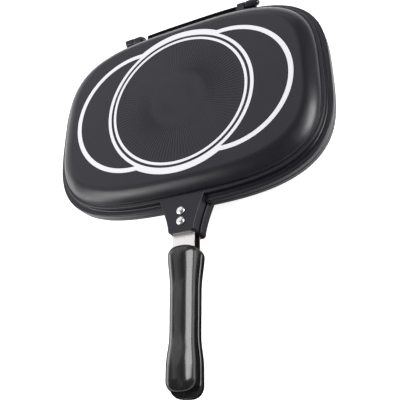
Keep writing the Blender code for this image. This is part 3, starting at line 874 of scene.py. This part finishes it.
def groove_tool():
    """Cuts the seal's groove in the lower lip."""
    near, far = groove_inset, groove_inset + groove_width
    corners = ((near, -cut), (near, groove_depth), (far, groove_depth), (far, -cut))
    rings = [outline_ring(inset, height) for inset, height in corners]
    groove = loft("seal_groove", rings, True)
    return [("DIFFERENCE", new_object("seal_groove", groove, turn=pan_frames["lower"]))]

# %% [markdown]
# The plate carries an old lathe-shop ornament: a wide round band in the middle, and behind
# it one more circle to each side. The outlines are arcs of those circles, cut where the
# circles cross, which a little triangle geometry gives.

# %% The bands' outlines
side_shift = 51.7 * mm
ring_outer, ring_inner, ring_field = 90.5 * mm, 87.0 * mm, 83.2 * mm
side_outer, side_inner = 77.3 * mm, 72.0 * mm
inner_band = (77.1 * mm, 80.2 * mm)
arc_step = math.radians(2)
print(f"middle circle {2000 * ring_outer:.0f} mm across, side circles {2000 * side_outer:.1f} mm")


def arc(centre_x, radius, start, end):
    """Points along part of a circle whose centre lies on the X axis."""
    count = max(2, round(abs(end - start) / arc_step))
    angles = [start + (end - start) * i / count for i in range(count)]
    return [(centre_x + radius * math.cos(a), radius * math.sin(a)) for a in angles]


def crossing(middle, side):
    """Where a circle in the middle meets one shifted to +X, as an angle from each centre."""
    x = (middle ** 2 - side ** 2 + side_shift ** 2) / (2 * side_shift)
    y = math.sqrt(middle ** 2 - x ** 2)
    return math.atan2(y, x), math.atan2(y, x - side_shift)


def three_circles(grow=0.0):
    """Outline round all three circles."""
    a, b = crossing(ring_outer + grow, side_outer + grow)
    right = arc(side_shift, side_outer + grow, -b, b)
    top = arc(0, ring_outer + grow, a, math.pi - a)
    return right + top + [(-x, -y) for x, y in right] + [(-x, -y) for x, y in top]


def crescents(shrink=0.0):
    """The two coated fields between the middle ring and the side bands."""
    a, b = crossing(ring_inner + shrink, side_inner - shrink)
    right = arc(side_shift, side_inner - shrink, -b, b) + arc(0, ring_inner + shrink, a, -a)
    return [right, [(-x, -y) for x, y in right]]

# %% [markdown]
# A flat piece with holes is what Blender's 2D curves are good at: they fill between an
# outline and whatever lies inside it, and extrude the result. The curve is then read as a
# mesh and welded, since a Boolean needs a closed solid. A shallow pocket holds the bands,
# half a millimetre wider than they are, and that slit is the thin dark line beside them.
# The whole ornament lies a little behind the plate's middle, towards the hinge.

# %% Flat pieces, and the pocket for the bands
slit = 0.55 * mm
band_depth = 0.7 * mm
band_lift = 0.02 * mm
weld_distance = 0.001 * mm
print(f"pocket {1000 * band_depth:.1f} mm deep")


def flat_piece(name, loops, low, high):
    """A flat plate between two heights, from an outline and its holes."""
    curve = bpy.data.curves.new(name, "CURVE")
    curve.dimensions = "2D"
    curve.fill_mode = "BOTH"
    curve.extrude = (high - low) / 2
    for loop in loops:
        spline = curve.splines.new("POLY")
        spline.points.add(len(loop) - 1)
        for point, (x, y) in zip(spline.points, loop):
            point.co = (x, y, 0, 1)
        spline.use_cyclic_u = True
    holder = bpy.data.objects.new(name, curve)
    bpy.context.scene.collection.objects.link(holder)
    bpy.context.view_layer.update()
    reader = bpy.context.evaluated_depsgraph_get()
    mesh = bpy.data.meshes.new_from_object(holder.evaluated_get(reader))
    bpy.data.objects.remove(holder, do_unlink=True)
    shape = bmesh.new()
    shape.from_mesh(mesh)
    bmesh.ops.remove_doubles(shape, verts=shape.verts, dist=weld_distance)
    bmesh.ops.translate(shape, verts=shape.verts, vec=(0, 0, (low + high) / 2))
    return to_mesh(name, shape)


def band_place(pan):
    """The bands' own place: a little behind the middle of the plate."""
    return pan_frames[pan] @ Matrix.Translation((0, bands_y, 0))


def pocket_tool(pan):
    """Cuts the pocket that the bands and the rayed disc lie in."""
    loops = [three_circles(slit)] + crescents(slit)
    mesh = flat_piece("band_pocket", loops, plate_height - band_depth, plate_height + cut)
    return [("DIFFERENCE", new_object("band_pocket", mesh, turn=band_place(pan)))]

# %% [markdown]
# Now each casting is lofted from the wall's line, and takes its joins and cuts in one go.
# The lower one has all that the upper one has, and the gutter, the ribs and the groove too.

# %% Both castings
for pan, turn in pan_frames.items():
    rings = [outline_ring(inset, height) for inset, height in profile]
    casting = new_object(f"{pan}_casting", loft(f"{pan}_casting", rings), coating, turn)
    tools = bracket_tools(pan)
    for side in (-1, 1):
        tools += lug_tools(pan, inner_lug if pan == "upper" else outer_lug, side)
    if pan == "lower":
        tools += gutter_tools() + rib_tools() + groove_tool()
    combine(casting, tools + pocket_tool(pan))
    dress(casting, f"{pan}_pan", "pan_coating", f"{pan}_pan_shell")

# %% [markdown]
# The disc inside the bands is struck with fine rays, like a sunburst. They are real relief:
# the disc is a loft of rings whose height follows a cosine round the circle, and it fades
# out towards the middle and the rim. A second, shorter set of rays starts nearer the middle.
# A bump map would be lighter, but a struck ray should catch the light at its real slope.

# %% Relief of the rayed disc
ray_count = 120
ray_depth = 0.30 * mm
inner_ray_share = 0.25
disc_radius = inner_band[0] - slit
points_a_ray = 6
disc_points = ray_count * points_a_ray
disc_middle, disc_start, disc_rings = 0.06, 0.12, 22
outer_rays = (0.36, 0.48, 0.95, 1.00)
inner_rays = (0.14, 0.18, 0.28, 0.36)
print(f"{ray_count} rays, {1000 * ray_depth:.2f} mm deep, on a disc {2000 * disc_radius:.1f} mm across")


def fade(share, limits):
    """Rises from 0 to 1 between the first two limits, and falls between the last two."""
    start, full, still, end = limits
    rise = min(max((share - start) / (full - start), 0), 1)
    fall = min(max((end - share) / (end - still), 0), 1)
    return rise * fall


def ray_ring(share):
    """One ring of the disc's top, at a share of its radius."""
    depth = ray_depth * (fade(share, outer_rays) + inner_ray_share * fade(share, inner_rays))
    ring = []
    for i in range(disc_points):
        angle = math.tau * i / disc_points
        drop = depth * (0.5 - 0.5 * math.cos(ray_count * angle))
        radius = disc_radius * share
        ring.append((radius * math.cos(angle), radius * math.sin(angle), plate_height - drop))
    return ring

# %% [markdown]
# Both plates get the same three pieces: the outer band with its side circles, the inner
# band, and the disc. Their tops lie level with the plate, and they stand a hair above the
# pocket's floor.

# %% Bands and rayed discs
for pan in pan_frames:
    body, turn = f"{pan}_pan", band_place(pan)
    bottom, top = plate_height - band_depth + band_lift, plate_height
    loops = [three_circles()] + crescents() + [arc(0, ring_field, 0, math.tau)]
    band = flat_piece(f"{pan}_outer_band", loops, bottom, top)
    dress(new_object(f"{pan}_outer_band", band, turned_aluminium, turn), body, "pan_coating")
    loops = [arc(0, radius, 0, math.tau) for radius in inner_band]
    band = flat_piece(f"{pan}_inner_band", loops, bottom, top)
    dress(new_object(f"{pan}_inner_band", band, turned_aluminium, turn), body, "pan_coating")
    shares = [disc_start + (1 - disc_start) * i / disc_rings for i in range(disc_rings + 1)]
    rings = [ray_ring(share) for share in [disc_middle] + shares]
    rings.append([(x, y, bottom) for x, y, z in rings[-1]])
    disc = loft(f"{pan}_rayed_disc", rings)
    dress(new_object(f"{pan}_rayed_disc", disc, coating, turn), body, "pan_coating")

# %% [markdown]
# Each grip half is a D in section, flat where the halves meet, with a small round along
# both edges of the flat. The arch is half of a superellipse, a little fuller than a circle.
# A circle would look thin from the side, and a box would press its corners into the hand.

# %% Section of a grip half
grip_power, grip_arch_steps, grip_edge_steps = 2.5, 48, 8
grip_edge_round = 2.0 * mm
print(f"arch of power {grip_power} over rounds of {1000 * grip_edge_round:.0f} mm")


def power(value):
    """A cosine or sine raised so that a circle becomes a fuller curve."""
    return math.copysign(abs(value) ** (2 / grip_power), value)


def grip_section(half):
    """The section's outline: the flat, a rounded edge, the arch and the other edge."""
    side = []
    for i in range(grip_edge_steps):
        angle = math.pi / 2 * i / grip_edge_steps
        side.append((half - grip_edge_round * (1 - math.sin(angle)),
                     joint_gap + grip_edge_round * (1 - math.cos(angle))))
    foot = joint_gap + grip_edge_round
    arch = []
    for i in range(grip_arch_steps + 1):
        angle = math.pi * i / grip_arch_steps
        arch.append((half * power(math.cos(angle)), foot + (half - foot) * power(math.sin(angle))))
    return side + arch + [(-x, z) for x, z in side[::-1]]

# %% [markdown]
# The width swells at the front and the rear and narrows to a waist between them. It is set
# at four places, each a share of the length and a half width, and half a cosine wave leads
# smoothly from one to the next. Both ends are drawn in to a blunt dome, so the sections
# stand closer together there.

# %% Lengthwise shape of a grip half
grip_front_round, grip_rear_round, grip_end_height = 9.0 * mm, 11.0 * mm, 0.45
grip_round_steps, grip_body_steps = 12, 56
grip_widths = ((0.0, 17.3 * mm), (0.32, 14.05 * mm), (0.62, 13.75 * mm), (0.84, 16.2 * mm))
upper_grip_low, upper_grip_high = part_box("upper_handle_grip")
grip_start = upper_grip_high.y
grip_length = grip_start - upper_grip_low.y
print(f"upper grip {1000 * grip_length:.1f} mm long")


def grip_half_width(distance):
    """Half width of the grip at a distance from its front, before its ends are rounded."""
    share = distance / grip_length
    for (s0, w0), (s1, w1) in zip(grip_widths, grip_widths[1:]):
        if share <= s1:
            return w0 + (w1 - w0) * (1 - math.cos(math.pi * (share - s0) / (s1 - s0))) / 2
    return grip_widths[-1][1]


def drawn_in(distance, radius):
    """How far a rounded end has drawn in at a distance from its tip."""
    if distance >= radius:
        return 0.0
    return radius - math.sqrt(max(radius ** 2 - (radius - distance) ** 2, 0))


def grip_ring(distance, length):
    """One section of a grip half, drawn in towards its middle near both ends."""
    inset = max(drawn_in(distance, grip_front_round), drawn_in(length - distance, grip_rear_round))
    half = grip_half_width(distance)
    scale = (half - inset) / half
    middle = half * grip_end_height
    y = grip_start - distance
    return [(x * scale, y, middle + (z - middle) * scale) for x, z in grip_section(half)]


def grip_stations(length):
    """Distances along the grip, closer together where its ends are round."""
    turns = [math.pi / 2 * i / grip_round_steps for i in range(grip_round_steps + 1)]
    front = [grip_front_round * (1 - math.cos(turn)) for turn in turns[:-1]]
    straight = length - grip_front_round - grip_rear_round
    body = [grip_front_round + straight * i / grip_body_steps for i in range(grip_body_steps)]
    rear = [length - grip_rear_round * (1 - math.sin(turn)) for turn in turns]
    return front + body + rear

# %% [markdown]
# On the real pan the grips are moulded with all their openings: the slot for the tang, two
# stepped screw holes, and the magnet's pocket. Here they are cut, each where the frame has
# the fitting. The lower half is a little longer, which gives the thumb a lip to open the
# pan by.

# %% Grip halves
screw_radius, screw_head, screw_head_height = 1.7 * mm, 3.2 * mm, 1.8 * mm


def node_heights(node):
    """The lowest and highest height of a node above the joint, in its own pan's frame."""
    low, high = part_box(node)
    return sorted(abs(z - parting_height) for z in (low.z, high.z))


def grip_tools(pan):
    """Cuts the tang's slot, the stepped screw holes and the magnet's pocket."""
    turn = pan_frames[pan]
    half, _, end, base, top = tang_box(pan)
    cutters = [cutter_box("slot", (-half - fit, end - fit, base - fit),
                          (half + fit, grip_start + cut, top + fit), turn)]
    for i in (1, 2):
        screw = f"{pan}_grip_screw_{i}"
        near, far = node_heights(screw)
        y = node_middle(screw)
        cutters.append(hole("screw_hole", screw_radius + fit, y, -cut, far + fit, turn))
        seat = near + screw_head_height + fit
        cutters.append(hole("screw_seat", screw_head + fit, y, -cut, seat, turn))
    magnet = f"{pan}_magnet"
    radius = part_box(magnet)[1].x + fit
    depth = node_heights(magnet)[1] + fit
    cutters.append(hole("magnet_pocket", radius, node_middle(magnet), -cut, depth, turn))
    return [("DIFFERENCE", cutter) for cutter in cutters]


for pan, turn in pan_frames.items():
    name = f"{pan}_grip"
    length = grip_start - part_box(f"{pan}_handle_grip")[0].y
    rings = [grip_ring(distance, length) for distance in grip_stations(length)]
    grip = new_object(name, loft(name, rings), phenolic, turn)
    combine(grip, grip_tools(pan))
    dress(grip, f"{pan}_pan", "grip_bakelite", f"{pan}_handle_grip")

# %% [markdown]
# The tang is a flat steel strip that runs from the pan's bracket deep into the grip. It is
# a prism with slightly broken edges, drilled for the rivets and the screws. All fittings
# stand where the frame has them, and only their edges are finer here.

# %% Tang
tang_edge, tang_edge_steps = 0.35 * mm, 3
print(f"tangs with {1000 * tang_edge:.2f} mm edges")


def make_tang(pan, turn):
    """One drilled steel strip."""
    half, start, end, base, top = tang_box(pan)
    outline = [(half, start), (-half, start), (-half, end), (half, end)]
    strip = prism("tang", outline, base, top, tang_edge, tang_edge_steps)
    tang = new_object(f"{pan}_tang", strip, brushed_stainless, turn)
    holes = [("rivet_hole", rivet_radius + fit, y) for y in rivet_places(pan)]
    holes += [("screw_hole", screw_radius + fit, node_middle(f"{pan}_grip_screw_{i}")) for i in (1, 2)]
    combine(tang, [("DIFFERENCE", hole(name, radius, y, -cut, top + cut, turn)) for name, radius, y in holes])
    dress(tang, f"{pan}_pan", "tang_steel", f"{pan}_handle_tang")

# %% [markdown]
# Rivets clench the tang to the bracket. A cupped punch sets their heads, so these are low
# domes with a soft edge, and the other end is peened flat under the tang. Rivets, screws,
# magnets and pins are all turned: a profile of radius and height, swept round an axis.

# %% Rivets
rivet_head, rivet_head_height = 4.5 * mm, 2.2 * mm
rivet_tail, rivet_tail_height = 3.8 * mm, 1.4 * mm
edge_round = 0.4 * mm
head_step = edge_round / 2
dome_steps = 12
print(f"rivet heads {2000 * rivet_head:.0f} mm across and {1000 * rivet_head_height:.1f} mm high")


def dome(radius, height, base):
    """Profile of a domed head that stands on base."""
    angles = [math.pi / 2 * i / dome_steps for i in range(dome_steps)]
    return [(radius * math.cos(a), base + height * math.sin(a)) for a in angles]


def place_turned(name, profile, y, material, turn):
    """A turned piece standing at y on the pan's middle line."""
    mesh = turned(name, profile)
    mesh.transform(Matrix.Translation((0, y, 0)))
    return new_object(name, mesh, material, turn)


def set_rivets(pan, turn):
    """Two rivets through bracket and tang."""
    seat, tail = bracket_face + fit, tang_box(pan)[3] - fit
    foot = tail - rivet_tail_height
    shaft = [(rivet_tail - edge_round, foot), (rivet_tail, foot + edge_round), (rivet_tail, tail),
             (rivet_radius, tail), (rivet_radius, seat), (rivet_head - head_step, seat),
             (rivet_head, seat + head_step)]
    head = dome(rivet_head, rivet_head_height - head_step, seat + head_step)[1:]
    for i, y in enumerate(rivet_places(pan), 1):
        rivet = place_turned(f"{pan}_rivet_head_{i}", shaft + head, y, rivet_aluminium, turn)
        dress(rivet, f"{pan}_pan", "rivet_metal", f"{pan}_rivet_{i}")

# %% [markdown]
# Two screws go in from a grip's flat face, through the tang and into the grip. Their heads
# lie sunk in the flat, with a round recess for the driver. A magnet in the same face pulls
# the two halves together when the pan is shut.

# %% Screws and magnets
screw_recess = 1.2 * mm
print(f"screw heads {2000 * screw_head:.1f} mm across")


def set_screws(pan, turn):
    """Two screws that hold the grip to the tang."""
    for i in (1, 2):
        node = f"{pan}_grip_screw_{i}"
        near, far = node_heights(node)
        seat = near + screw_head_height
        shaft = [(screw_recess, near + edge_round), (screw_recess, near), (screw_head - edge_round, near),
                 (screw_head, near + edge_round), (screw_head, seat), (screw_radius, seat),
                 (screw_radius, far - edge_round), (screw_radius - edge_round, far)]
        screw = place_turned(f"{pan}_screw_{i}", shaft, node_middle(node), zinc_plate, turn)
        dress(screw, f"{pan}_pan", "screw_steel", node)


def set_magnet(pan, turn):
    """The closing magnet in the grip's flat face."""
    node = f"{pan}_magnet"
    near, far = node_heights(node)
    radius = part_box(node)[1].x
    disc = [(radius - edge_round, near), (radius, near + edge_round), (radius, far - edge_round),
            (radius - edge_round, far)]
    magnet = place_turned(f"{pan}_disc_magnet", disc, node_middle(node), nickel_plate, turn)
    dress(magnet, f"{pan}_pan", "magnet_nickel", node)

# %% [markdown]
# With a function for each kind of fitting, both handles are put together in one short loop.

# %% Both handles
for pan, turn in pan_frames.items():
    make_tang(pan, turn)
    set_rivets(pan, turn)
    set_screws(pan, turn)
    set_magnet(pan, turn)

# %% [markdown]
# The grips are far glossier than the pan, and a photographer lights the two apart, with
# small flags between them. Light linking does the same here: the strip draws one bright
# line along the grip and leaves the pan alone, and the pan's own softboxes skip the grips.

# %% Lamps that light the grips or the pan alone
grip_pieces = bpy.data.collections.new("grip_pieces")
for pan in pan_frames:
    grip_pieces.objects.link(bpy.data.objects[f"{pan}_grip"])
all_but_grips = grip_pieces.copy()
for member in all_but_grips.collection_objects:
    member.light_linking.link_state = "EXCLUDE"
for lamp in grip_lamps:
    lamp.light_linking.receiver_collection = grip_pieces
for lamp in pan_lamps:
    lamp.light_linking.receiver_collection = all_but_grips
print("for the grips alone:", [lamp.name for lamp in grip_lamps])
print("for all but the grips:", [lamp.name for lamp in pan_lamps])

# %% [markdown]
# The hinge is two headed pins, both pushed in from the right, so that the pans come apart
# for washing, with a washer between each pair of lugs. Both are turned about Z and then
# laid along the hinge line, like the knuckles.

# %% Hinge pins and washers
washer_edge = 0.25 * mm

for hand in ("left", "right"):
    low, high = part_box(f"hinge_pin_{hand}")
    neck, head_radius = high.x - low.x - pin_head_length, (high.z - low.z) / 2
    pin = [(pin_radius - edge_round, 0), (pin_radius, edge_round), (pin_radius, neck),
           (head_radius - head_step, neck), (head_radius, neck + head_step)]
    pin += dome(head_radius, pin_head_length - head_step, neck + head_step)[1:]
    turn = pan_frames["upper"]
    shaft = new_object(f"hinge_pin_{hand}_shaft", along_x(turned("pin", pin), low.x), black_steel, turn)
    dress(shaft, "lower_pan", "pin_steel", f"hinge_pin_{hand}")
    low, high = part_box(f"hinge_washer_{hand}")
    thick, outer, bore = high.x - low.x, (high.z - low.z) / 2, pin_radius + fit
    ring = [(outer - washer_edge, 0), (outer, washer_edge), (outer, thick - washer_edge),
            (outer - washer_edge, thick), (bore, thick), (bore, 0)]
    disc = along_x(turned("washer", ring, closed=True), low.x)
    washer = new_object(f"washer_{hand}", disc, black_steel, turn)
    dress(washer, "lower_pan", "washer_steel", f"hinge_washer_{hand}")

# %% [markdown]
# The seal is a bead that lies in the lower lip's groove, crowned towards the upper pan, and
# stops the juices when the pan is turned. Like the groove it is a closed loft: the bead's
# section is a line of insets and heights, and each becomes a ring of the pan's outline.

# %% Seal
bead_side, bead_soft, bead_rise = 0.6 * mm, 0.3 * mm, 0.15 * mm

outer, inner = groove_inset + fit, groove_inset + groove_width - fit
foot, crown = groove_depth - fit, joint_gap
side = [(0, foot), (0, crown + bead_side), (bead_soft, crown + bead_rise)]
bead = [(outer + x, height) for x, height in side] + [((inner + outer) / 2, crown)]
bead += [(inner - x, height) for x, height in side[::-1]]
seal_mesh = loft("silicone_seal", [outline_ring(inset, height) for inset, height in bead], True)
seal = new_object("silicone_seal", seal_mesh, silicone, pan_frames["lower"])
dress(seal, "lower_pan", "seal_silicone", "seal_ring")
